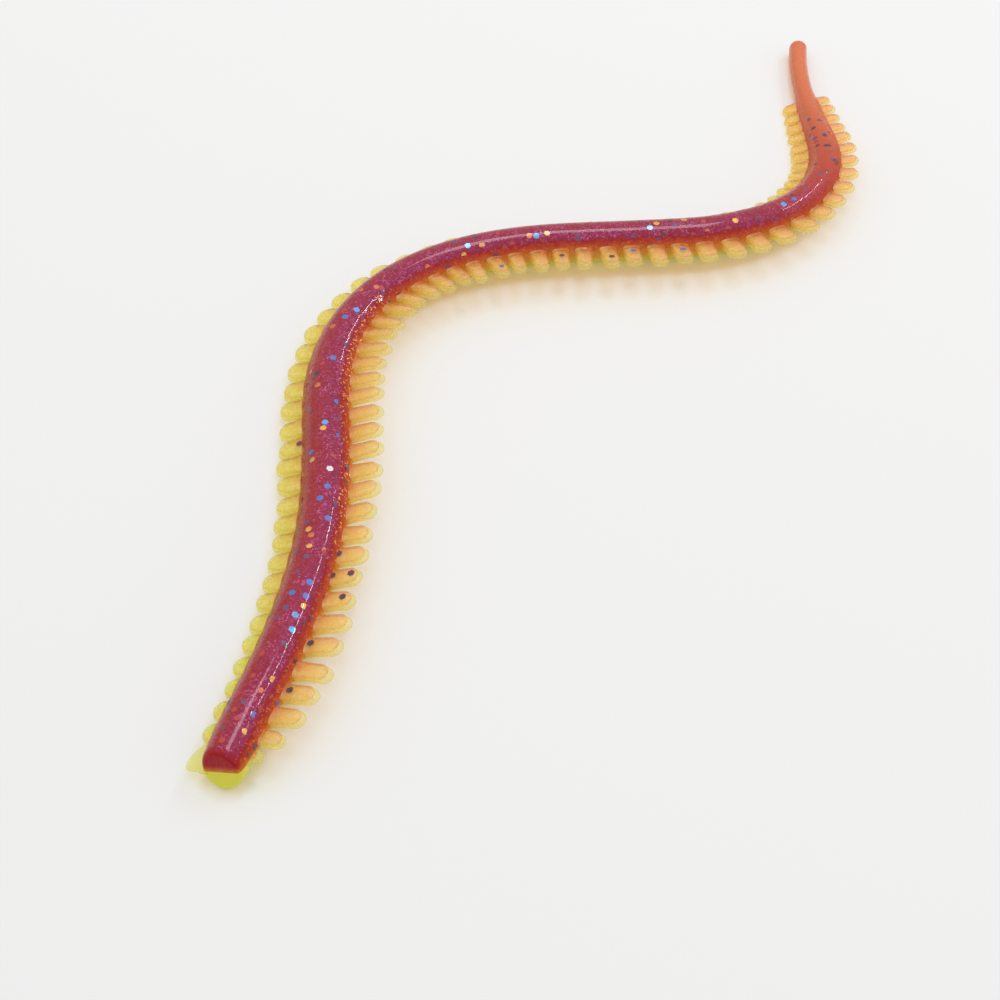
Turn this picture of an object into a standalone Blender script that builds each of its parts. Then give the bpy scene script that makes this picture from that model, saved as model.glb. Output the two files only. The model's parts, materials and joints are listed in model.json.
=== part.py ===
"""Soft plastic worm with a row of legs down each flank, lying on a table in a loose S.

The worm is moulded in two shots that are bonded along its mid-plane: a back and a belly. Each shot carries half
the thickness of every leg. Here both shots are cut into short links, joined in a chain, so that the worm bends.
Frame: +Z up with the worm lying on z = 0, +Y roughly from the blunt head to the thin tail, +X to the worm's
right at the head. The origin is under the centre of the worm's box.
"""

import math

import bmesh
import bpy
from mathutils import Vector

MM = 0.001

# Body
LENGTH = 188 * MM
BODY_RADIUS = 2.75 * MM
PARTING_GAP = 0.3 * MM  # between the back and the belly
LINK_GAP = 0.3 * MM  # between links, at the centre of their coned ends
ROLL = math.radians(16)  # the worm lies rolled over onto its left legs
NOSE_BEVEL = 0.6 * MM
NOSE_LEAN = 1.6 * MM  # how far the chin stands out in front of the top of the blunt nose

# Distance along the body in mm, and the body's radius there as a share of BODY_RADIUS
TAPER = [(0, 0.93), (12, 0.96), (35, 1.0), (130, 1.0), (142, 0.93), (157, 0.74), (171, 0.54), (188, 0.5)]
# Distance along the body in mm, and the body's direction there in degrees from +X towards +Y
HEADING = [(0, 74), (8, 72), (18, 75), (30, 82), (42, 91), (54, 94), (66, 80), (78, 55)]
HEADING += [(92, 25), (108, 5), (122, 4), (136, 26), (150, 64), (164, 96), (176, 92), (188, 81)]

# Legs
FIRST_LEG = 1.7 * MM
LEG_PITCH = 10 / 3 * MM
LEGS_END = 173 * MM
LEGS_PER_LINK = 3
LEG_ROOT_HALF_WIDTH = 1.0 * MM
LEG_HALF_WIDTH = 0.82 * MM
LEG_TIP_HALF_WIDTH = 0.45 * MM
LEG_HALF_THICKNESS = 0.8 * MM
LEG_TIP_HALF_THICKNESS = 0.45 * MM
LEG_TIP_LENGTH = 0.7 * MM
# Distance along the body in mm, and the size of the legs and of their spacing there
LEG_SIZE = [(0, 0.7), (8, 1.0), (136, 1.0), (154, 0.85), (172, 0.74), (188, 0.74)]
# Distance along the body in mm, and how far in mm the legs' tips are from its axis there
REACH_RIGHT = [(0, 2.8), (5, 6.3), (30, 6.8), (46, 7.4), (64, 7.8), (130, 7.7), (142, 6.5), (155, 5.1)]
REACH_RIGHT += [(165, 4.2), (175, 3.3), (188, 3.0)]
REACH_LEFT = [(0, 5.0), (5, 4.6), (20, 5.6), (35, 6.4), (48, 6.8), (66, 6.3), (130, 6.3), (145, 5.6)]
REACH_LEFT += [(159, 5.2), (170, 4.2), (176, 3.7), (188, 3.5)]
PLAIN_TAIL_LINKS = 2

SECTION_ANGLES = [0, 20, 55, 90, 125, 160, 180]  # degrees round half of the body, from its right to its left
CURVE_STEP = 0.25 * MM

BACK_COLOUR = (0.36, 0.055, 0.075, 1.0)
BELLY_COLOUR = (0.62, 0.66, 0.10, 1.0)


def smooth(stations, s):
    """The value at distance s (metres) of a smooth curve through stations given in mm."""
    x = min(max(s / MM, stations[0][0]), stations[-1][0])
    slopes = [(b[1] - a[1]) / (b[0] - a[0]) for a, b in zip(stations, stations[1:])]
    middle = [(a + b) / 2 if a * b > 0 else 0.0 for a, b in zip(slopes, slopes[1:])]  # level at each crest
    tangents = [slopes[0]] + middle + [slopes[-1]]
    i = max(k for k in range(len(slopes)) if x >= stations[k][0])
    (x0, y0), (x1, y1) = stations[i], stations[i + 1]
    width = x1 - x0
    t = (x - x0) / width
    rise = (3 - 2 * t) * t * t
    bend = t * (1 - t) * ((1 - t) * tangents[i] - t * tangents[i + 1]) * width
    return y0 + rise * (y1 - y0) + bend


def body_radius(s):
    return BODY_RADIUS * smooth(TAPER, s)


def heading(s):
    return math.radians(smooth(HEADING, s))


def centreline():
    """Points along the body's axis, CURVE_STEP apart, from the nose at (0, 0)."""
    points = [Vector((0, 0, body_radius(0)))]
    for i in range(math.ceil(LENGTH / CURVE_STEP)):
        middle = heading((i + 0.5) * CURVE_STEP)
        ahead = points[-1] + CURVE_STEP * Vector((math.cos(middle), math.sin(middle), 0))
        ahead.z = body_radius((i + 1) * CURVE_STEP)
        points.append(ahead)
    return points


AXIS = centreline()


def lay(s, side, up):
    """Where a point of the straight worm lies: s along it, side to its right and up from its axis."""
    i = min(max(int(s / CURVE_STEP), 0), len(AXIS) - 2)
    centre = AXIS[i].lerp(AXIS[i + 1], s / CURVE_STEP - i)
    right = Vector((math.sin(heading(s)), -math.cos(heading(s)), 0))
    top = Vector((0, 0, 1))
    rolled_right = right * math.cos(ROLL) + top * math.sin(ROLL)
    rolled_top = top * math.cos(ROLL) - right * math.sin(ROLL)
    return centre + side * rolled_right + up * rolled_top


def leg_places():
    """The distance of each pair of legs along the body."""
    places = [FIRST_LEG]
    while places[-1] < LEGS_END:
        places.append(places[-1] + LEG_PITCH * smooth(LEG_SIZE, places[-1]))
    return places[:-1]


def links():
    """The links from head to tail, each as (start, end, its legs' places)."""
    legs = leg_places()
    groups = [legs[i : i + LEGS_PER_LINK] for i in range(0, len(legs), LEGS_PER_LINK)]
    if len(groups[-1]) < LEGS_PER_LINK:
        leftover = groups.pop()
        groups[-1] += leftover
    cuts = [(a[-1] + b[0]) / 2 for a, b in zip(groups, groups[1:])]
    cuts.append(groups[-1][-1] + LEG_PITCH / 2 * smooth(LEG_SIZE, groups[-1][-1]))
    plain = (LENGTH - cuts[-1]) / PLAIN_TAIL_LINKS
    cuts += [cuts[-1] + plain * (i + 1) for i in range(PLAIN_TAIL_LINKS)]
    groups += [[]] * PLAIN_TAIL_LINKS
    return [(a, b, g) for a, b, g in zip([0.0] + cuts, cuts, groups)]


def end_setback(s):
    """How far a link's rim stands back from the cut between two links, which leaves room to bend."""
    return (LEG_PITCH / 2 - LEG_ROOT_HALF_WIDTH) * smooth(LEG_SIZE, s)


def rings(start, end, legs, is_nose, is_tip):
    """The body's rings in a link: (distance along it, radius), from its centre point to its centre point."""
    if is_nose:
        radius = body_radius(0)
        rows = [(0.0, 0.0), (0.0, radius - NOSE_BEVEL), (NOSE_BEVEL / 4, radius - NOSE_BEVEL / 4)]
    else:
        rows = [(start + LINK_GAP / 2, 0.0)]
        if not legs:
            rows.append((start + end_setback(start), None))
    for place in legs:
        half = LEG_ROOT_HALF_WIDTH * smooth(LEG_SIZE, place)
        rows += [(place - half, None), (place + half, None)]
    if is_tip:
        radius = body_radius(LENGTH)
        rows += [(end - radius, None), (end - radius * 0.3, radius * 0.8), (end, radius * 0.35), (end, 0.0)]
    else:
        if not legs:
            rows.append((end - end_setback(end), None))
        rows.append((end - LINK_GAP / 2, 0.0))
    return [(s, body_radius(s) if radius is None else radius) for s, radius in rows]


def half_section(s, radius, layer):
    """The points of one ring of a layer: the back is layer 1 and the belly is layer -1."""
    points = []
    for angle in SECTION_ANGLES:
        side = radius * math.cos(math.radians(angle))
        up = max(radius * math.sin(math.radians(angle)), PARTING_GAP / 2)
        points.append(Vector((s, side, layer * up)))
    return points


def grow_leg(bm, root, place, side, layer):
    """Draws one layer of a leg out of the body face at its root, first to the leg's end and then to its tip."""
    size = smooth(LEG_SIZE, place)
    reach = MM * smooth(REACH_RIGHT if side > 0 else REACH_LEFT, place)
    sections = [
        (reach - LEG_TIP_LENGTH * size, LEG_HALF_WIDTH * size, LEG_HALF_THICKNESS * size),
        (reach, LEG_TIP_HALF_WIDTH * size, LEG_TIP_HALF_THICKNESS * size),
    ]
    face = root
    for distance, half_width, half_thickness in sections:
        face = bmesh.ops.extrude_discrete_faces(bm, faces=[face])["faces"][0]
        for vertex in face.verts:
            outer = abs(vertex.co.z) > PARTING_GAP / 2 + 1e-6
            vertex.co.x = place + math.copysign(half_width, vertex.co.x - place)
            vertex.co.y = side * distance
            vertex.co.z = layer * (half_thickness if outer else PARTING_GAP / 2)


def lean_nose(vertex):
    """Moves a point of the blunt nose forward, the more the lower it is."""
    if vertex.co.x < NOSE_BEVEL:
        vertex.co.x -= NOSE_LEAN * (0.5 - vertex.co.z / (2 * body_radius(0)))


def link_mesh(name, link, layer, is_nose, is_tip):
    """One layer of one link, modelled straight with its legs and then laid along the body's axis."""
    start, end, legs = link
    bm = bmesh.new()
    rows = rings(start, end, legs, is_nose, is_tip)
    (near, _), (far, _) = rows[0], rows[-1]
    near_centre = bm.verts.new((near, 0, layer * PARTING_GAP / 2))
    far_centre = bm.verts.new((far, 0, layer * PARTING_GAP / 2))
    loops = [[bm.verts.new(p) for p in half_section(s, radius, layer)] for s, radius in rows[1:-1]]

    for loop, centre in ((loops[0], near_centre), (loops[-1], far_centre)):
        for a, b in zip(loop, loop[1:] + loop[:1]):
            bm.faces.new((centre, a, b))
    roots = []
    for loop, ahead in zip(loops, loops[1:]):
        strip = [
            bm.faces.new((a, b, d, c))
            for a, b, c, d in zip(loop, loop[1:] + loop[:1], ahead, ahead[1:] + ahead[:1])
        ]
        middle = (loop[0].co.x + ahead[0].co.x) / 2
        for place in legs:
            if abs(place - middle) < LEG_ROOT_HALF_WIDTH / 4:
                roots += [(strip[0], place, 1), (strip[-2], place, -1)]
    bmesh.ops.recalc_face_normals(bm, faces=bm.faces[:])
    for root, place, side in roots:
        grow_leg(bm, root, place, side, layer)

    for vertex in bm.verts:
        lean_nose(vertex)
        vertex.co = lay(*vertex.co)
    bmesh.ops.triangulate(bm, faces=bm.faces[:])
    bmesh.ops.recalc_face_normals(bm, faces=bm.faces[:])
    mesh = bpy.data.meshes.new(name)
    bm.to_mesh(mesh)
    bm.free()
    return mesh


def soft_plastic(name, colour):
    material = bpy.data.materials.new(name)
    material.use_nodes = True
    shader = material.node_tree.nodes["Principled BSDF"]
    shader.inputs["Base Color"].default_value = colour
    shader.inputs["Roughness"].default_value = 0.3
    shader.inputs["Metallic"].default_value = 0.0
    return material


def remove_everything():
    for thing in list(bpy.data.objects):
        bpy.data.objects.remove(thing, do_unlink=True)


def add_empty(name, parent, place):
    """A joint's place, as an empty that carries the link beyond it."""
    empty = bpy.data.objects.new(name, None)
    bpy.context.scene.collection.objects.link(empty)
    empty.parent = parent
    empty.location = place
    return empty


def centre_shift(meshes):
    """The move that brings the middle of the worm's box over the origin, with its lowest point on z = 0."""
    points = [vertex.co for mesh in meshes for vertex in mesh.vertices]
    low = [min(p[k] for p in points) for k in range(3)]
    high = [max(p[k] for p in points) for k in range(3)]
    return -Vector(((low[0] + high[0]) / 2, (low[1] + high[1]) / 2, low[2]))


def main():
    remove_everything()
    chain = links()
    layers = {"back": (1, BACK_COLOUR), "belly": (-1, BELLY_COLOUR)}
    meshes = {}
    for number, link in enumerate(chain, start=1):
        for layer_name, (layer, colour) in layers.items():
            name = f"{layer_name}_{number:02d}"
            mesh = link_mesh(name, link, layer, number == 1, number == len(chain))
            mesh.materials.append(soft_plastic(name, colour))
            meshes[name] = mesh
    shift = centre_shift(meshes.values())

    parent, parent_place = None, Vector((0, 0, 0))
    for number, (start, _, _) in enumerate(chain, start=1):
        place = lay(start, 0, 0) + shift
        parent = add_empty(f"joint_{number:02d}", parent, place - parent_place)
        parent_place = place
        for layer_name in layers:
            name = f"{layer_name}_{number:02d}"
            for vertex in meshes[name].vertices:
                vertex.co += shift - place
            worm_link = bpy.data.objects.new(name, meshes[name])
            bpy.context.scene.collection.objects.link(worm_link)
            worm_link.parent = parent


main()
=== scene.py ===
"""The looks of a soft plastic worm: plum back, chartreuse belly, translucent legs, glitter inside.

The worm is modelled straight, as (distance along it, side to its right, up from its axis), and every point is
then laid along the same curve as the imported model. Lengths named with MM are millimetres turned into metres.
"""

import json
import math
import random

import bpy
import numpy as np
from mathutils import Euler, Matrix, Vector


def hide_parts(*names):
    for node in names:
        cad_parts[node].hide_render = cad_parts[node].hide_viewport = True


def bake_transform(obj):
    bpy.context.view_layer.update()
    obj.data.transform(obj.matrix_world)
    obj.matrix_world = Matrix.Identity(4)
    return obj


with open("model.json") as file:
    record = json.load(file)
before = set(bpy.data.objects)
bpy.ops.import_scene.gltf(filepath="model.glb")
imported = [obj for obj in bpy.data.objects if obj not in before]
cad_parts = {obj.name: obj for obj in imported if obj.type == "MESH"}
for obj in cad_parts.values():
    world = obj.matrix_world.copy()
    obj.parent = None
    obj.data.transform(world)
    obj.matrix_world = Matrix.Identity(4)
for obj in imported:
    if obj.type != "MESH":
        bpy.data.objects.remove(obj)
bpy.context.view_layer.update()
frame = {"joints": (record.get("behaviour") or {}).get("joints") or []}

MM = 0.001

# The worm's design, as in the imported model. Stations are distances along the body in mm.
LENGTH = 188 * MM
BODY_RADIUS = 2.75 * MM
ROLL = math.radians(16)
NOSE_LEAN = 1.6 * MM
TAPER = [(0, 0.93), (12, 0.96), (35, 1.0), (130, 1.0), (142, 0.93), (157, 0.74), (171, 0.54), (188, 0.5)]
HEADING = [(0, 74), (8, 72), (18, 75), (30, 82), (42, 91), (54, 94), (66, 80), (78, 55)]
HEADING += [(92, 25), (108, 5), (122, 4), (136, 26), (150, 64), (164, 96), (176, 92), (188, 81)]
FIRST_LEG = 1.7 * MM
LEG_PITCH = 10 / 3 * MM
LEGS_END = 173 * MM
LEGS_PER_LINK = 3
LEG_SIZE = [(0, 0.7), (8, 1.0), (136, 1.0), (154, 0.85), (172, 0.74), (188, 0.74)]
REACH_RIGHT = [(0, 2.8), (5, 6.3), (30, 6.8), (46, 7.4), (64, 7.8), (130, 7.7), (142, 6.5), (155, 5.1)]
REACH_RIGHT += [(165, 4.2), (175, 3.3), (188, 3.0)]
REACH_LEFT = [(0, 5.0), (5, 4.6), (20, 5.6), (35, 6.4), (48, 6.8), (66, 6.3), (130, 6.3), (145, 5.6)]
REACH_LEFT += [(159, 5.2), (170, 4.2), (176, 3.7), (188, 3.5)]

# The skin
RING_STEP = 0.25 * MM
ROUND_STEPS = 72
NOSE_BEVEL = 0.7 * MM
NOSE_RUN = 2.6 * MM  # how far back from the nose its lean is felt
TIP_ROUNDING = 1.1 * MM
WEB_HEIGHT = 0.62 * MM  # how far the flank swells out to meet the legs
WEB_SPREAD = math.radians(22)
WEB_RIPPLE = 0.08  # how much lower it is between legs, as a share either way
WEB_START = 0.4 * MM  # from the nose, rising over WEB_RISE
WEB_RISE = 2.0 * MM
WEB_END = 3.0 * MM  # past the last leg, fading over WEB_FADE
WEB_FADE = 4.0 * MM
LEG_ROOT_DEPTH = 0.9 * MM  # how deep a leg starts inside the body
FLARE = 0.45  # how much wider a leg is where it meets the body
FLARE_RUN = 0.5 * MM

SEED = 7
RIGHT, LEFT = 1, -1


# ---------------------------------------------------------------- the curve the worm lies along


def smooth(stations, s):
    """Values at distances s (metres, an array) of a smooth curve through stations given in mm."""
    places = np.array([a for a, _ in stations], float)
    values = np.array([b for _, b in stations], float)
    slopes = np.diff(values) / np.diff(places)
    middle = np.where(slopes[:-1] * slopes[1:] > 0, (slopes[:-1] + slopes[1:]) / 2, 0.0)
    tangents = np.concatenate([slopes[:1], middle, slopes[-1:]])
    x = np.clip(np.asarray(s, float) / MM, places[0], places[-1])
    i = np.clip(np.searchsorted(places, x, side="right") - 1, 0, len(slopes) - 1)
    width = places[i + 1] - places[i]
    t = (x - places[i]) / width
    bend = t * (1 - t) * ((1 - t) * tangents[i] - t * tangents[i + 1]) * width
    return values[i] + (3 - 2 * t) * t * t * (values[i + 1] - values[i]) + bend


AXIS_STEP = 0.05 * MM
axis_places = np.arange(0, LENGTH + AXIS_STEP, AXIS_STEP)
axis_turns = np.radians(smooth(HEADING, axis_places[:-1] + AXIS_STEP / 2))
axis_x = np.concatenate([[0], np.cumsum(np.cos(axis_turns) * AXIS_STEP)])
axis_y = np.concatenate([[0], np.cumsum(np.sin(axis_turns) * AXIS_STEP)])


def body_radius(s):
    return BODY_RADIUS * smooth(TAPER, s)


def leg_places():
    places = [FIRST_LEG]
    while places[-1] < LEGS_END:
        places.append(places[-1] + LEG_PITCH * float(smooth(LEG_SIZE, places[-1])))
    return places[:-1]


legs = leg_places()


def link_cuts():
    """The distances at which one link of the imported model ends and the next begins."""
    groups = [legs[i : i + LEGS_PER_LINK] for i in range(0, len(legs), LEGS_PER_LINK)]
    cuts = [(a[-1] + b[0]) / 2 for a, b in zip(groups, groups[1:])]
    cuts.append(legs[-1] + LEG_PITCH / 2 * float(smooth(LEG_SIZE, legs[-1])))
    return cuts + [(cuts[-1] + LENGTH) / 2]


cuts = link_cuts()
first_joint = frame["joints"][0]["pos_m"]
origin_x = first_joint[0] - np.interp(cuts[0], axis_places, axis_x)
origin_y = first_joint[1] - np.interp(cuts[0], axis_places, axis_y)
origin_z = first_joint[2] - float(body_radius(cuts[0]))


def lay(points):
    """Lays points of the straight worm, rows of (along, side, up), where they are in the frame."""
    s, side, up = np.asarray(points, float).T
    turn = np.radians(smooth(HEADING, s))
    right = np.stack([np.sin(turn), -np.cos(turn), np.zeros_like(turn)], 1)
    top = np.array([0.0, 0.0, 1.0])
    over = np.minimum(s, 0) + np.maximum(s - LENGTH, 0)  # beyond either end the axis goes on straight
    x = origin_x + np.interp(s, axis_places, axis_x) + over * np.cos(turn)
    y = origin_y + np.interp(s, axis_places, axis_y) + over * np.sin(turn)
    centre = np.stack([x, y, origin_z + body_radius(s)], 1)
    rolled_right = right * math.cos(ROLL) + top * math.sin(ROLL)
    rolled_top = top * math.cos(ROLL) - right * math.sin(ROLL)
    return centre + side[:, None] * rolled_right + up[:, None] * rolled_top


# ---------------------------------------------------------------- surfaces


class Surface:
    """A mesh of the straight worm, with what its materials read at each point.

    Each face has the number of the part that it belongs to and the slot of its material.
    """

    def __init__(self):
        self.points, self.faces, self.parts, self.slots, self.leg = [], [], [], [], []
        self.count = 0

    def add(self, points, faces, parts, slot, leg=(0.0, 0.0, 0.0)):
        points = np.asarray(points, float)
        leg = np.broadcast_to(np.asarray(leg, float), points.shape)
        self.points.append(points)
        self.leg.append(leg)
        self.faces += [tuple(i + self.count for i in face) for face in faces]
        self.parts += list(parts)
        self.slots += [slot] * len(faces)
        self.count += len(points)

    def pieces(self, name, materials):
        """One object for each part, whose normals go on smoothly into the next part."""
        straight = np.concatenate(self.points)
        leg = np.concatenate(self.leg)
        laid = lay(straight)
        normals = vertex_normals(laid, self.faces)
        made = {}
        for part in sorted(set(self.parts)):
            chosen = [i for i, p in enumerate(self.parts) if p == part]
            used = sorted({v for i in chosen for v in self.faces[i]})
            new = {v: i for i, v in enumerate(used)}
            mesh = bpy.data.meshes.new(f"{name}_{part:02d}")
            mesh.from_pydata(laid[used].tolist(), [], [[new[v] for v in self.faces[i]] for i in chosen])
            for material in materials:
                mesh.materials.append(material)
            mesh.polygons.foreach_set("material_index", [self.slots[i] for i in chosen])
            mesh.polygons.foreach_set("use_smooth", [True] * len(chosen))
            for label, values in (("straight", straight / MM), ("leg", leg)):
                attribute = mesh.attributes.new(label, "FLOAT_VECTOR", "POINT")
                attribute.data.foreach_set("vector", values[used].astype(np.float32).ravel())
            mesh.normals_split_custom_set_from_vertices(normals[used].tolist())
            piece = bpy.data.objects.new(mesh.name, mesh)
            bpy.context.scene.collection.objects.link(piece)
            made[part] = piece
        return made


def vertex_normals(points, faces):
    """Area-weighted normals of a mesh's points."""
    normals = np.zeros_like(points)
    for size in (3, 4):
        rows = np.array([f for f in faces if len(f) == size], int).reshape(-1, size)
        corner = [points[rows[:, k]] for k in range(size)]
        if size == 4:
            across = np.cross(corner[2] - corner[0], corner[3] - corner[1])
        else:
            across = np.cross(corner[1] - corner[0], corner[2] - corner[0])
        for k in range(size):
            np.add.at(normals, rows[:, k], across)
    return normals / np.maximum(np.linalg.norm(normals, axis=1, keepdims=True), 1e-20)


def tube_faces(rings, around, closed_start, closed_end):
    """Quads round a tube of rings, and triangles to its end points, which come after the rings."""
    faces = []
    for i in range(rings - 1):
        for k in range(around):
            n = (k + 1) % around
            faces.append((i * around + k, i * around + n, (i + 1) * around + n, (i + 1) * around + k))
    last = (rings - 1) * around
    if closed_start:
        faces += [(rings * around, (k + 1) % around, k) for k in range(around)]
    if closed_end:
        tip = rings * around + int(closed_start)
        faces += [(last + k, last + (k + 1) % around, tip) for k in range(around)]
    return faces


# ---------------------------------------------------------------- where the parts begin and end

link_ends = [0.0] + cuts + [LENGTH]
link_centres = [(a + b) / 2 for a, b in zip(link_ends, link_ends[1:])]
JOINTS = len(cuts)


def seam(k):
    """Where part k begins: just past the middle leg of link k."""
    size = float(smooth(LEG_SIZE, link_centres[k - 1]))
    return link_centres[k - 1] + LEG_PITCH / 2 * size


seams = [seam(k) for k in range(2, JOINTS + 1)]


def part_of(s):
    """The number of the part, and so of the joint, that a distance along the worm belongs to."""
    return 1 + np.searchsorted(seams, s)


# ---------------------------------------------------------------- the body


def body_profile():
    """The body's rings as (distance, radius), from the flat of the nose to the rounded tail tip."""
    nose_radius = float(body_radius(0))
    rows = [(0.0, share * (nose_radius - NOSE_BEVEL)) for share in (0.12, 0.35, 0.6, 0.82, 0.95)]
    for i in range(9):
        a = math.radians(90 * i / 8)
        rows.append((NOSE_BEVEL * (1 - math.cos(a)), nose_radius - NOSE_BEVEL * (1 - math.sin(a))))
    start, end = NOSE_BEVEL, LENGTH - TIP_ROUNDING
    steps = round((end - start) / RING_STEP)
    for i in range(1, steps + 1):
        s = start + (end - start) * i / steps
        rows.append((s, float(body_radius(s))))
    tip_radius = float(body_radius(end))
    for i in range(1, 11):
        a = math.radians(90 * i / 10.5)
        rows.append((end + TIP_ROUNDING * math.sin(a), tip_radius * math.cos(a) ** 0.75))
    return rows


def web(s, angle):
    """How far the flank stands out towards the legs at distances s and angles round the body."""
    nearest = np.min(np.abs(s[:, None] - np.array(legs)[None]), 1)
    size = smooth(LEG_SIZE, s)
    between = np.clip(nearest / (LEG_PITCH / 2 * size), 0, 1)
    ripple = 1 - WEB_RIPPLE + WEB_RIPPLE * np.cos(np.pi * between)
    start = np.clip((s - WEB_START) / WEB_RISE, 0, 1)
    end = np.clip((legs[-1] + WEB_END - s) / WEB_FADE, 0, 1)
    from_parting = np.arcsin(np.minimum(np.abs(np.sin(angle)), 1.0))
    swell = np.exp(-((from_parting / WEB_SPREAD) ** 2))
    return WEB_HEIGHT * size[:, None] * (ripple * start * end)[:, None] * swell[None]


def make_body():
    """The body's points, faces, and what its material reads: (how near the face, height, nothing)."""
    rows = np.array(body_profile())
    angles = np.arange(ROUND_STEPS) * 2 * math.pi / ROUND_STEPS
    local = body_radius(rows[:, 0])
    radius = rows[:, 1][:, None] + web(rows[:, 0], angles) * (rows[:, 1] / local)[:, None] ** 2
    along = np.broadcast_to(rows[:, 0][:, None], radius.shape)
    points = np.stack([along, radius * np.cos(angles), radius * np.sin(angles)], 2).reshape(-1, 3)
    points = np.concatenate([points, [[0, 0, 0], [LENGTH, 0, 0]]])
    height = np.clip(points[:, 2] / body_radius(points[:, 0]), -1, 1)
    face = np.clip(1 - points[:, 0] / NOSE_BEVEL, 0, 1)
    reads = np.stack([face, height, np.zeros_like(height)], 1)
    fade = np.clip(1 - points[:, 0] / NOSE_RUN, 0, 1) ** 2
    points[:, 0] -= NOSE_LEAN * fade * (0.5 - height / 2)
    faces = [f[::-1] for f in tube_faces(len(rows), ROUND_STEPS, True, True)]
    return points, faces, reads


# ---------------------------------------------------------------- the legs


def leg_shape(index, place, side, dice):
    """The size and lie of one leg, in metres and radians."""
    size = float(smooth(LEG_SIZE, place))
    reach = MM * float(smooth(REACH_RIGHT if side == RIGHT else REACH_LEFT, place))
    shape = {
        "place": place,
        "side": side,
        "root": float(body_radius(place)),
        "reach": reach * dice.uniform(0.97, 1.01),
        "half_width": (1.14 if side == RIGHT else 1.4) * MM * size * dice.uniform(0.97, 1.03),
        "half_height": MM * size,
        "sweep": math.radians(dice.uniform(-4, 4)),
        "lift": math.radians(dice.uniform(-2, 2)),
        "cored": index > 0,
    }
    if index == 0 and side == LEFT:
        shape.update(half_width=1.9 * MM, half_height=0.5 * MM, sweep=math.radians(-32))
    return shape


def leg_layer(shape, layer):
    """The half width, half height, middle height and reach of one layer of a leg.

    The belly's layer is the wider and longer one, underneath, and the back's layer lies in it and on it.
    """
    width, height, reach, root = (shape[k] for k in ("half_width", "half_height", "reach", "root"))
    if layer == "belly":
        return width, 0.58 * height, -0.37 * height, reach
    share = 0.9 if shape["side"] == RIGHT else 0.94
    return 0.93 * width, 0.42 * height, 0.16 * height, root + (reach - root) * share


def leg_grid(shape, layer, around=18, straight_rings=9, cap_rings=7):
    """The points and faces of one layer of a leg, and what its material reads: (reach, height, breadth)."""
    root = shape["root"]
    width, height, middle, reach = leg_layer(shape, layer)
    cap = width if reach - root > 1.2 * width else 0.8 * (reach - root)
    start, bend = root - LEG_ROOT_DEPTH, reach - cap
    rows = [(start + (bend - start) * i / straight_rings, 1.0) for i in range(straight_rings + 1)]
    for i in range(1, cap_rings + 1):
        a = math.radians(90 * i / (cap_rings + 0.5))
        rows.append((bend + cap * math.sin(a), math.cos(a)))
    out = []
    for distance, narrowing in rows:
        flare = 1 + FLARE * math.exp(-max(distance - root, 0) / FLARE_RUN)
        for k in range(around):
            a = 2 * math.pi * k / around
            wide = math.copysign(abs(math.cos(a)) ** 0.9, math.cos(a))
            tall = math.copysign(abs(math.sin(a)) ** 0.9, math.sin(a))
            breadthwise = wide * width * narrowing * flare
            out.append((distance, breadthwise, middle + tall * height * narrowing**0.8))
    out += [(start, 0.0, middle), (reach, 0.0, middle)]
    grid = np.array(out)
    breadth = grid[:, 1] / width
    beyond = np.maximum(grid[:, 0] - root, 0)
    share = np.clip(beyond / (shape["reach"] - root), 0, 1)
    along = shape["place"] + grid[:, 1] + beyond * math.tan(shape["sweep"])
    up = grid[:, 2] + beyond * math.tan(shape["lift"])
    reads = np.stack([share, grid[:, 2] / shape["half_height"], breadth], 1)
    faces = tube_faces(len(rows), around, True, True)
    if shape["side"] == RIGHT:
        faces = [f[::-1] for f in faces]
    return np.stack([along, shape["side"] * grid[:, 0], up], 1), faces, reads


# ---------------------------------------------------------------- materials

ROOM_GLARE = 0.02  # how much the gloss adds to every colour by mirroring the pale room


def colour(red, green, blue):
    """A colour as seen under gloss, 0 to 255, as the linear values that a shader takes."""
    parts = [c / 255 for c in (red, green, blue)]
    linear = [c / 12.92 if c <= 0.04045 else ((c + 0.055) / 1.055) ** 2.4 for c in parts]
    return tuple(max(c - ROOM_GLARE, 0.004) for c in linear) + (1.0,)


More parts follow.
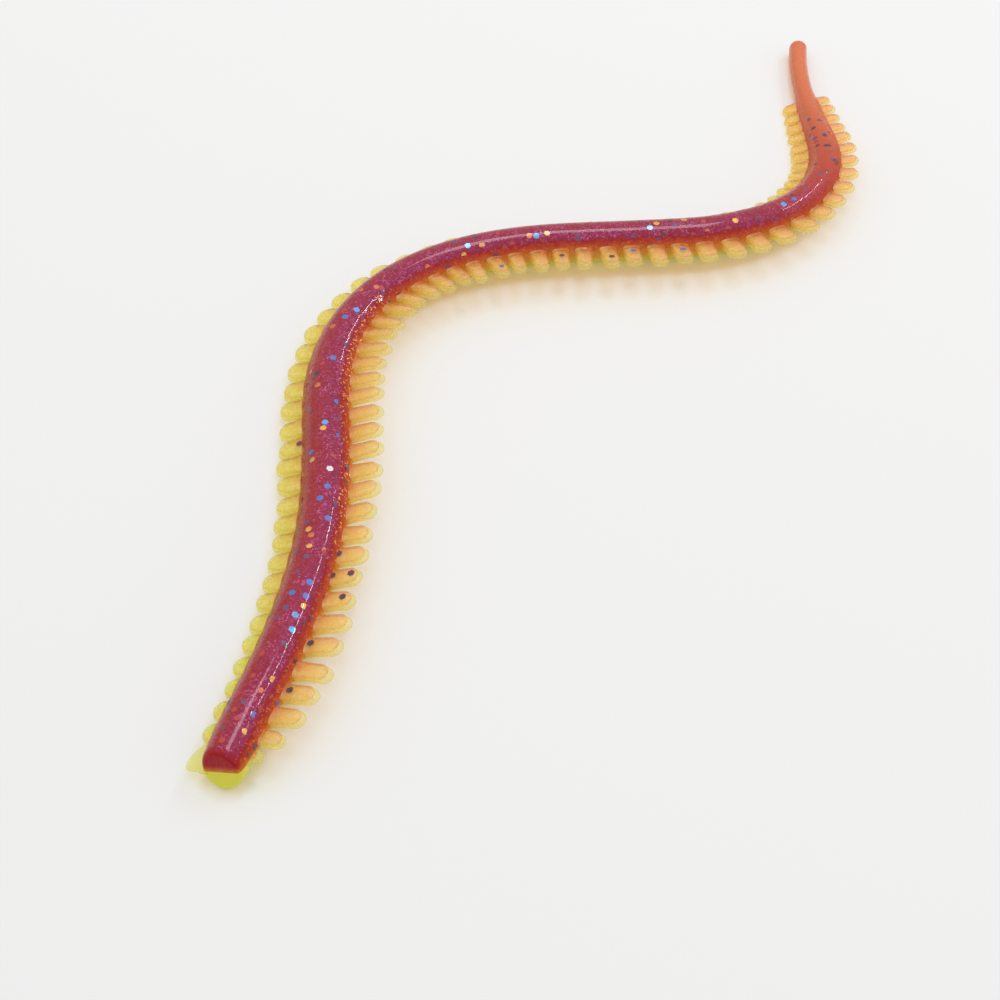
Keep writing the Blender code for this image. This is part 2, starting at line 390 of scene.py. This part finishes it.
class Material:
    """A material with one Principled shader, and short names for the nodes that feed it."""

    def __init__(self, name, **settings):
        self.material = bpy.data.materials.new(name)
        self.material.use_nodes = True
        self.nodes, self.links = self.material.node_tree.nodes, self.material.node_tree.links
        self.shader = self.nodes["Principled BSDF"]
        self.output = self.nodes["Material Output"]
        for socket, value in settings.items():
            self.shader.inputs[socket.replace("_", " ")].default_value = value

    def put(self, value, socket):
        if isinstance(value, bpy.types.NodeSocket):
            self.links.new(value, socket)
        else:
            socket.default_value = value

    def feed(self, name, value):
        self.put(value, self.shader.inputs[name])

    def attribute(self, name):
        node = self.nodes.new("ShaderNodeAttribute")
        node.attribute_name = name
        return node.outputs["Vector"]

    def split(self, vector):
        node = self.nodes.new("ShaderNodeSeparateXYZ")
        self.links.new(vector, node.inputs[0])
        return node.outputs

    def math(self, operation, *values):
        node = self.nodes.new("ShaderNodeMath")
        node.operation = operation
        for value, socket in zip(values, node.inputs):
            self.put(value, socket)
        return node.outputs[0]

    def noise(self, vector, scale, detail=2.0):
        node = self.nodes.new("ShaderNodeTexNoise")
        self.links.new(vector, node.inputs["Vector"])
        node.inputs["Scale"].default_value = scale
        node.inputs["Detail"].default_value = detail
        return node.outputs["Fac"]

    def ramp(self, factor, stops):
        node = self.nodes.new("ShaderNodeValToRGB")
        self.put(factor, node.inputs[0])
        elements = node.color_ramp.elements
        while len(elements) < len(stops):
            elements.new(0.5)
        for element, (place, value) in zip(elements, stops):
            element.position = place
            element.color = value
        return node.outputs["Color"]

    def span(self, value, low, high, to_low=0.0, to_high=1.0):
        """A value that goes smoothly from to_low to to_high while another goes from low to high."""
        node = self.nodes.new("ShaderNodeMapRange")
        node.interpolation_type = "SMOOTHSTEP"
        for v, socket in zip((value, low, high, to_low, to_high), node.inputs):
            self.put(v, socket)
        return node.outputs[0]

    def mix(self, factor, a, b):
        node = self.nodes.new("ShaderNodeMix")
        node.data_type = "RGBA"
        self.put(factor, node.inputs[0])
        self.put(a, node.inputs[6])
        self.put(b, node.inputs[7])
        return node.outputs[2]

    def bump(self, height, distance, strength=1.0):
        node = self.nodes.new("ShaderNodeBump")
        node.inputs["Strength"].default_value = strength
        node.inputs["Distance"].default_value = distance
        self.links.new(height, node.inputs["Height"])
        return node.outputs["Normal"]

    def grains(self, vector, scale):
        """Dust of flat grains: a number by chance for each grain, and normals that lie as the grains do."""
        cells = self.nodes.new("ShaderNodeTexVoronoi")
        self.links.new(vector, cells.inputs["Vector"])
        cells.inputs["Scale"].default_value = scale
        chance = self.vector_math("SUBTRACT", cells.outputs["Color"], (0.5, 0.5, 0.5))
        lean = self.vector_math("MULTIPLY", chance, (0.35, 0.35, 0.35))
        normal = self.nodes.new("ShaderNodeNewGeometry").outputs["Normal"]
        normal = self.vector_math("NORMALIZE", self.vector_math("ADD", normal, lean))
        return self.split(cells.outputs["Color"])[0], normal

    def vector_math(self, operation, *values):
        node = self.nodes.new("ShaderNodeVectorMath")
        node.operation = operation
        for value, socket in zip(values, node.inputs):
            self.put(value, socket)
        return node.outputs[0]

    def blend_shaders(self, factor, first, second):
        node = self.nodes.new("ShaderNodeMixShader")
        self.put(factor, node.inputs[0])
        self.links.new(first, node.inputs[1])
        self.links.new(second, node.inputs[2])
        return node.outputs[0]

    def clear(self, tint):
        node = self.nodes.new("ShaderNodeBsdfTransparent")
        node.inputs["Color"].default_value = tint
        return node.outputs[0]

    def glow(self, tint):
        """Light that comes through the plastic from behind."""
        node = self.nodes.new("ShaderNodeBsdfTranslucent")
        self.put(tint, node.inputs["Color"])
        return node.outputs[0]

    def finish(self, surface, shadow_tint):
        """Shows a surface whose shadow is tinted by the light that comes through the plastic."""
        shadow = self.nodes.new("ShaderNodeLightPath").outputs["Is Shadow Ray"]
        shown = self.blend_shaders(shadow, surface, self.clear(shadow_tint))
        self.links.new(shown, self.output.inputs["Surface"])
        return self.material


def back_plastic():
    """Plum plastic full of mica, which thins to orange over the belly, with painted purple sheen, sparkle and
    glints.
    """
    m = Material("back_plastic", Roughness=0.28, Coat_Roughness=0.04, Coat_IOR=1.4)
    m.shader.inputs["Specular IOR Level"].default_value = 0.15
    m.shader.inputs["Specular Tint"].default_value = (1.0, 0.4, 0.9, 1)
    straight = m.attribute("straight")
    along, side = m.split(straight)[:2]
    face, height = m.split(m.attribute("leg"))[:2]
    wander = m.math("MULTIPLY", m.math("SUBTRACT", m.noise(straight, 1.1, 4.0), 0.5), 0.34)
    edge = m.math("ADD", height, wander)
    # The purple towards the right side is painted pearl sheen, where the light falls; the left keeps the
    # plastic's red-brown.
    plum = m.mix(m.span(side, -1.6, 1.9), colour(168, 62, 50), colour(148, 56, 80))
    plum = m.mix(m.span(m.noise(straight, 0.4), 0.4, 0.7, 0.0, 0.5), plum, colour(152, 52, 52))
    chance, grain_normal = m.grains(straight, 5.5)
    # Painted sparkle: pale pink mica grains drawn as if lit, in patches and mostly on the right side, where
    # the light falls.
    patches = m.span(m.noise(straight, 0.45, 3.0), 0.38, 0.62, 0.25, 1.0)
    painted_sparkle_spread = m.math("MULTIPLY", patches, m.span(side, -1.8, 1.0))
    mica_dust_and_painted_sparkle = m.math("MULTIPLY", m.span(chance, 0.66, 1.0, 0.0, 0.55), painted_sparkle_spread)
    plum = m.mix(mica_dust_and_painted_sparkle, plum, colour(216, 128, 186))
    plum = m.mix(m.span(chance, 0.0, 0.3, 0.4, 0.0), plum, colour(118, 40, 66))
    flank = m.ramp(
        m.math("MULTIPLY", m.math("ADD", edge, 0.1), 1.4),
        [
            (0.05, colour(204, 138, 42)),
            (0.3, colour(196, 102, 30)),
            (0.55, colour(178, 72, 26)),
            (0.8, colour(154, 46, 30)),
        ],
    )
    # Painted glints: orange-white flecks on the flank from about 26 to 84 mm along, where light catches the
    # rough parting line.
    painted_flank_glints = m.math("MULTIPLY", m.span(chance, 0.75, 0.85), m.span(m.noise(straight, 1.6), 0.46, 0.56))
    glint_stretch = m.math("MULTIPLY", m.span(along, 26.0, 38.0, 0.25, 1.0), m.span(along, 84.0, 72.0, 0.15, 1.0))
    flank = m.mix(m.math("MULTIPLY", painted_flank_glints, glint_stretch), flank, colour(252, 176, 112))
    tone = m.mix(m.span(edge, 0.46, 0.6), flank, plum)
    mask = m.math("MULTIPLY", face, m.span(height, 0.06, 0.36))
    tone = m.mix(mask, tone, colour(164, 34, 34))
    tail = m.ramp(m.span(along, 146.0, 180.0), [(0.0, colour(184, 72, 50)), (1.0, colour(216, 120, 80))])
    tone = m.mix(m.span(along, 134.0, 156.0), tone, tail)
    m.feed("Base Color", tone)
    m.feed("Coat Weight", m.span(side, -2.2, -0.4, 0.12, 0.5))
    m.feed("Normal", grain_normal)
    m.feed("Coat Normal", m.bump(m.noise(straight, 1.9, 3.0), 0.05 * MM, 0.15))
    return m.finish(m.shader.outputs[0], (0.8, 0.6, 0.35, 1))


def belly_plastic():
    """Chartreuse plastic, ochre near the parting where the back's colour shows in it."""
    m = Material("belly_plastic", Roughness=0.35, Coat_Weight=0.5, Coat_Roughness=0.1, Coat_IOR=1.4)
    straight = m.attribute("straight")
    along = m.split(straight)[0]
    height = m.split(m.attribute("leg"))[1]
    wander = m.math("MULTIPLY", m.math("SUBTRACT", m.noise(straight, 1.2, 3.0), 0.5), 0.2)
    tone = m.ramp(
        m.span(m.math("ADD", height, wander), -1.0, 0.05),
        [
            (0.0, colour(206, 208, 60)),
            (0.25, colour(206, 186, 50)),
            (0.55, colour(204, 152, 42)),
            (1.0, colour(204, 120, 36)),
        ],
    )
    tone = m.mix(m.span(along, 0.0, 3.5, 0.85, 0.0), tone, colour(226, 226, 56))
    tone = m.mix(m.span(along, 138.0, 172.0), tone, colour(224, 140, 86))
    m.feed("Base Color", tone)
    m.feed("Coat Normal", m.bump(m.noise(straight, 1.7, 2.0), 0.05 * MM, 0.6))
    return m.finish(m.shader.outputs[0], (0.9, 0.78, 0.34, 1))


def leg_back_layer():
    """The back's share of a leg: clear amber with salmon clouds on the right, yellower on the left."""
    m = Material("leg_back_layer", Roughness=0.3, Coat_Weight=0.5, Coat_Roughness=0.1, Coat_IOR=1.4)
    reads = m.split(m.attribute("leg"))
    share, breadth = reads[0], reads[2]
    straight = m.attribute("straight")
    along, side = m.split(straight)[:2]
    right = m.ramp(
        share,
        [
            (0.0, colour(202, 104, 38)),
            (0.14, colour(220, 146, 82)),
            (0.45, colour(238, 194, 138)),
            (0.75, colour(248, 220, 174)),
            (0.9, colour(244, 214, 166)),
        ],
    )
    right = m.mix(m.span(along, 134.0, 160.0), right, colour(252, 206, 184))
    left = m.ramp(
        share,
        [
            (0.0, colour(218, 160, 74)),
            (0.22, colour(238, 212, 120)),
            (0.6, colour(236, 230, 138)),
            (0.9, colour(238, 244, 156)),
        ],
    )
    left = m.mix(m.span(breadth, -0.1, -0.7, 0.0, 0.8), left, colour(242, 246, 140))
    head = m.ramp(
        share, [(0.0, colour(216, 206, 86)), (0.3, colour(226, 242, 116)), (0.9, colour(234, 252, 160))]
    )
    left = m.mix(m.span(along, 30.0, 14.0), left, head)
    left = m.mix(m.span(along, 134.0, 160.0, 0.0, 0.7), left, colour(254, 216, 146))
    tone = m.mix(m.span(side, -1.0, 1.0), left, right)
    cloud = m.noise(straight, 1.1, 4.0)
    salmon = m.math("MULTIPLY", m.span(cloud, 0.42, 0.62, 0.0, 0.65), m.span(side, -4.0, 2.0, 0.25, 1.0))
    salmon = m.math("MULTIPLY", salmon, m.math("MAXIMUM", m.span(along, 14.0, 30.0), m.span(side, -1.0, 1.0)))
    tone = m.mix(salmon, tone, colour(234, 160, 122))
    tone = m.mix(m.span(cloud, 0.3, 0.46, 0.5, 0.0), tone, colour(250, 234, 164))
    tone = m.mix(m.span(breadth, 0.2, -0.9, 0.0, 0.6), tone, colour(248, 236, 156))
    # Painted shade: a darker orange line along each leg's edge towards the tail, as shade between one leg and
    # the next.
    tone = m.mix(m.span(breadth, 0.7, 0.97, 0.0, 0.6), tone, colour(206, 132, 66))
    m.feed("Base Color", tone)
    m.feed("Coat Normal", m.bump(cloud, 0.08 * MM, 0.5))
    surface = m.blend_shaders(0.3, m.shader.outputs[0], m.glow(tone))
    between_clouds, rim = m.span(cloud, 0.42, 0.64, 0.72, 0.4), m.span(breadth, 0.72, 0.96, 1.0, 0.25)
    clearness = m.math("MINIMUM", between_clouds, rim)
    clearness = m.math("MULTIPLY", clearness, m.span(share, 0.0, 0.3, 0.3, 1.0))
    surface = m.blend_shaders(clearness, surface, m.clear(colour(255, 246, 224)))
    return m.finish(surface, (0.97, 0.93, 0.905, 1))


def leg_belly_layer():
    """The belly's share of a leg: chartreuse underneath, pale and clear at its rim."""
    m = Material("leg_belly_layer", Roughness=0.25, Coat_Weight=0.5, Coat_Roughness=0.08, Coat_IOR=1.4)
    share = m.split(m.attribute("leg"))[0]
    straight = m.attribute("straight")
    along, side = m.split(straight)[:2]
    right = m.ramp(
        share,
        [
            (0.0, colour(214, 150, 50)),
            (0.25, colour(238, 206, 98)),
            (0.7, colour(248, 238, 160)),
            (1.0, colour(250, 248, 216)),
        ],
    )
    left = m.ramp(
        share, [(0.0, colour(222, 208, 84)), (0.35, colour(234, 242, 112)), (1.0, colour(240, 250, 160))]
    )
    tone = m.mix(m.span(side, -1.0, 1.0), left, right)
    tone = m.mix(m.span(along, 9.0, 2.0, 0.0, 0.8), tone, colour(236, 246, 168))
    tone = m.mix(m.span(along, 134.0, 160.0, 0.0, 0.7), tone, colour(254, 218, 170))
    cloud = m.noise(straight, 0.9, 3.0)
    tone = m.mix(m.span(cloud, 0.35, 0.65, 0.0, 0.35), tone, colour(240, 230, 150))
    m.feed("Base Color", tone)
    m.feed("Coat Normal", m.bump(cloud, 0.08 * MM, 0.5))
    surface = m.blend_shaders(0.4, m.shader.outputs[0], m.glow(tone))
    clearness = m.math("MAXIMUM", m.span(share, 0.3, 1.0, 0.5, 0.8), m.span(along, 10.0, 2.0, 0.0, 0.7))
    surface = m.blend_shaders(clearness, surface, m.clear(colour(254, 251, 222)))
    return m.finish(surface, (0.975, 0.95, 0.9, 1))


def flake_material(name, tone, metallic, roughness):
    """A glitter flake, dulled in places by the plastic over it."""
    m = Material(name, Metallic=metallic, Roughness=roughness, Coat_Weight=0.5)
    plastic_over = m.span(m.noise(m.attribute("straight"), 2.5), 0.35, 0.65, 0.0, 0.45)
    m.feed("Base Color", m.mix(plastic_over, tone, colour(150, 60, 80)))
    return m.material


FLAKES = {  # each kind's colour, metallic value and roughness
    "blue": (colour(66, 126, 205), 0.3, 0.4),
    "bright_blue": (colour(70, 178, 246), 0.2, 0.3),
    "gold": (colour(238, 180, 84), 0.3, 0.4),
    "copper": (colour(222, 124, 66), 0.2, 0.4),
    "deep_blue": (colour(96, 80, 120), 0.1, 0.5),
    "dark": (colour(66, 54, 66), 0.1, 0.4),
    "red": (colour(186, 62, 52), 0.0, 0.5),
    "silver": (colour(250, 250, 255), 0.2, 0.3),
}
# The other flakes are in random places: how often each kind comes, where, and how far from bright ones.
FLAKE_SHARES = {"blue": 5, "gold": 2, "copper": 5, "deep_blue": 32, "dark": 16, "red": 22}
BRIGHT_FLAKES = {  # the flakes that lie flat near the surface and catch the light: (mm along, degrees round)
    "bright_blue": [(18, 50), (20, 57), (51, 75), (73, 58), (94, 55), (104, 50), (120, 60), (140, 64)],
    "blue": [(23, 50), (23, 86), (25, 53), (35, 51), (38, 79), (40, 63), (55, 42), (63, 63), (71, 75)],
    "gold": [(11, 40), (33, 95), (45, 110), (50, 80), (93, 30), (96, 46), (121, 76), (125, 88), (132, 58)],
    "copper": [(32, 84), (58, 96), (69, 95), (87, 32), (103, 53)],
    "silver": [(43, 60)],
}
LEG_FLAKES = [  # kind, leg counted from the head, side, share of the leg's reach
    ("gold", 0, RIGHT, 0.3),
    ("dark", 3, RIGHT, 0.3),
    ("dark", 5, RIGHT, 0.25),
    ("dark", 7, RIGHT, 0.75),
    ("dark", 8, RIGHT, 0.8),
    ("dark", 8, RIGHT, 0.15),
    ("dark", 9, RIGHT, 0.15),
    ("dark", 15, LEFT, 0.2),
    ("gold", 27, RIGHT, 0.8),
    ("blue", 29, RIGHT, 0.8),
    ("dark", 32, RIGHT, 0.6),
    ("gold", 33, RIGHT, 0.2),
    ("dark", 34, RIGHT, 0.8),
    ("blue", 35, RIGHT, 0.5),
    ("blue", 37, RIGHT, 0.6),
]
FLAKE_SIZE = 0.46 * MM  # from its middle to a corner
FLAKES_START, FLAKES_END = 1.5, 166  # mm along
FLAKE_ARC = (5, 150)  # degrees round
FLAKE_SPACING = 0.9  # mm along, on average
CLEAR_ALONG, CLEAR_ROUND = 1.2, 25
FLAKE_LIFT = 0.015 * MM  # above the skin
LEG_FLAKE_LIFT = 0.02 * MM  # above the top of a leg


def add_flake(surface, s, angle, kind, size, turn):
    """A six-sided flake at the body's surface, at a distance in metres and an angle in degrees."""
    radius = float(body_radius(s)) + FLAKE_LIFT
    a = math.radians(angle)
    radius += float(web(np.array([s]), np.array([a]))[0, 0])
    points = [(s, radius * math.cos(a), radius * math.sin(a))]
    for k in range(6):
        t = turn + k * math.pi / 3
        b = a + size * math.sin(t) / radius
        points.append((s + size * math.cos(t), radius * math.cos(b), radius * math.sin(b)))
    faces = [(0, 1 + (k + 1) % 6, 1 + k) for k in range(6)]
    surface.add(points, faces, [part_of(s)] * 6, list(FLAKES).index(kind))


def add_leg_flake(surface, shape, share, kind):
    """A six-sided flake lying on top of a leg."""
    height, middle, reach = leg_layer(shape, "back" if shape["cored"] else "belly")[1:]
    beyond = share * (reach - shape["root"])
    along = shape["place"] + beyond * math.tan(shape["sweep"])
    out = shape["side"] * (shape["root"] + beyond)
    up = middle + height + LEG_FLAKE_LIFT + beyond * math.tan(shape["lift"])
    points = [(along, out, up)]
    for k in range(6):
        t = k * math.pi / 3
        points.append((along + FLAKE_SIZE * math.cos(t), out + FLAKE_SIZE * math.sin(t), up))
    faces = [(0, 1 + (k + 1) % 6, 1 + k) for k in range(6)]
    surface.add(points, faces, [part_of(shape["place"])] * 6, list(FLAKES).index(kind))


# ---------------------------------------------------------------- making the worm


def make_worm():
    """The surfaces of the back, the belly and the glitter, each with its faces numbered by part."""
    dice = random.Random(SEED)
    back, belly, glitter = Surface(), Surface(), Surface()
    points, faces, reads = make_body()
    middles = np.array([points[list(f)].mean(0) for f in faces])
    parts = part_of(middles[:, 0])
    for surface, chosen in ((back, middles[:, 2] > 0), (belly, middles[:, 2] <= 0)):
        chosen = np.flatnonzero(chosen)
        surface.add(points, [faces[i] for i in chosen], parts[chosen], 0, reads)
    for index, place in enumerate(legs):
        for side in (RIGHT, LEFT):
            shape = leg_shape(index, place, side, dice)
            for layer, surface in (("belly", belly), ("back", back)):
                if layer == "belly" or shape["cored"]:
                    points, faces, reads = leg_grid(shape, layer)
                    surface.add(points, faces, [part_of(place)] * len(faces), 1, reads)
            for kind, leg, leg_side, share in LEG_FLAKES:
                if (leg, leg_side) == (index, side):
                    add_leg_flake(glitter, shape, share, kind)
    for kind, places in BRIGHT_FLAKES.items():
        for s, angle in places:
            add_flake(glitter, s * MM, angle, kind, FLAKE_SIZE, dice.uniform(0, math.pi / 3))
    bright = [place for places in BRIGHT_FLAKES.values() for place in places]
    kinds, shares = list(FLAKE_SHARES), list(FLAKE_SHARES.values())
    s = FLAKES_START
    while s < FLAKES_END:
        kind, angle = dice.choices(kinds, shares)[0], dice.uniform(*FLAKE_ARC)
        size = FLAKE_SIZE * dice.uniform(0.7, 1.0)
        if all(abs(s - at) > CLEAR_ALONG or abs(angle - around) > CLEAR_ROUND for at, around in bright):
            add_flake(glitter, s * MM, angle, kind, size, dice.uniform(0, math.pi / 3))
        s += dice.expovariate(1 / FLAKE_SPACING)
    return back, belly, glitter


back, belly, glitter = make_worm()
flake_materials = [flake_material(f"flake_{n}", *v) for n, v in FLAKES.items()]
back_pieces = back.pieces("back_skin", [back_plastic(), leg_back_layer()])
belly_pieces = belly.pieces("belly_skin", [belly_plastic(), leg_belly_layer()])
glitter_pieces = glitter.pieces("glitter", flake_materials)

for group, slot in ((back_pieces, "back"), (belly_pieces, "belly"), (glitter_pieces, "back")):
    for part, piece in group.items():
        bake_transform(piece)
for kind, group in (("back", back_pieces), ("belly", belly_pieces)):
    for part, piece in group.items():
        nodes = [f"{kind}_{part:02d}"]
        if part == JOINTS:
            nodes.append(f"{kind}_{part + 1:02d}")
        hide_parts(*nodes)


# ---------------------------------------------------------------- floor, light and camera


def make_floor():
    """A wide sheet of pale paper."""
    bpy.ops.mesh.primitive_plane_add(size=6, location=(0, 0, 0))
    floor = bpy.context.object
    floor.name = "floor"
    m = Material("pale_paper", Roughness=0.9)
    m.shader.inputs["Specular IOR Level"].default_value = 0.1
    m.shader.inputs["Base Color"].default_value = (0.8, 0.8, 0.795, 1)
    floor.data.materials.append(m.material)


def area_light(name, start, end, width, power):
    """A strip of light between two points, facing the worm."""
    start, end = Vector(start), Vector(end)
    middle = (start + end) / 2
    light = bpy.data.lights.new(name, "AREA")
    light.shape = "RECTANGLE"
    light.size = (end - start).length
    light.size_y = width
    light.energy = power
    lamp = bpy.data.objects.new(name, light)
    x = (end - start).normalized()
    z = middle.normalized()
    y = z.cross(x).normalized()
    z = x.cross(y)
    lamp.matrix_world = Matrix.Translation(middle) @ Matrix((x, y, z)).transposed().to_4x4()
    bpy.context.scene.collection.objects.link(lamp)


def make_lights():
    """A narrow strip for the line of light down the back, a soft lamp overhead, and a pale studio dome."""
    area_light("strip_right", (0.62, 0.3, 0.8), (0.92, 1.1, 0.8), 0.014, 2.6)
    area_light("overhead", (-0.05, 0.35, 1.0), (0.25, 0.35, 1.0), 0.3, 2.9)
    world = bpy.data.worlds.new("studio")
    world.use_nodes = True
    nodes, links = world.node_tree.nodes, world.node_tree.links
    direction = nodes.new("ShaderNodeTexCoord").outputs["Generated"]
    split = nodes.new("ShaderNodeSeparateXYZ")
    links.new(direction, split.inputs[0])
    ramp = nodes.new("ShaderNodeValToRGB")
    links.new(split.outputs["Z"], ramp.inputs[0])
    low, high = ramp.color_ramp.elements
    low.position, low.color = 0.0, (0.42, 0.42, 0.43, 1)
    high.position, high.color = 0.75, (1.0, 1.0, 1.0, 1)
    links.new(ramp.outputs[0], nodes["Background"].inputs["Color"])
    nodes["Background"].inputs["Strength"].default_value = 0.9
    bpy.context.scene.world = world


CAMERA_FROM_NOSE = (29.8 * MM, -115.8 * MM)
CAMERA_HEIGHT = 169 * MM
CAMERA_DOWN = math.radians(47)
CAMERA_LENS = 66.96


def make_camera():
    """Low over the table, looking down on the worm from its head end."""
    camera_data = bpy.data.cameras.new("camera")
    camera_data.sensor_width = 36
    camera_data.lens = CAMERA_LENS
    camera_data.clip_start = 0.01
    camera = bpy.data.objects.new("camera", camera_data)
    nose = lay([[0, 0, 0]])[0]
    camera.location = (nose[0] + CAMERA_FROM_NOSE[0], nose[1] + CAMERA_FROM_NOSE[1], CAMERA_HEIGHT)
    camera.rotation_euler = Euler((math.pi / 2 - CAMERA_DOWN, 0, 0))
    bpy.context.scene.collection.objects.link(camera)
    bpy.context.scene.camera = camera


make_floor()
make_lights()
make_camera()
bpy.context.scene.view_settings.view_transform = "Standard"
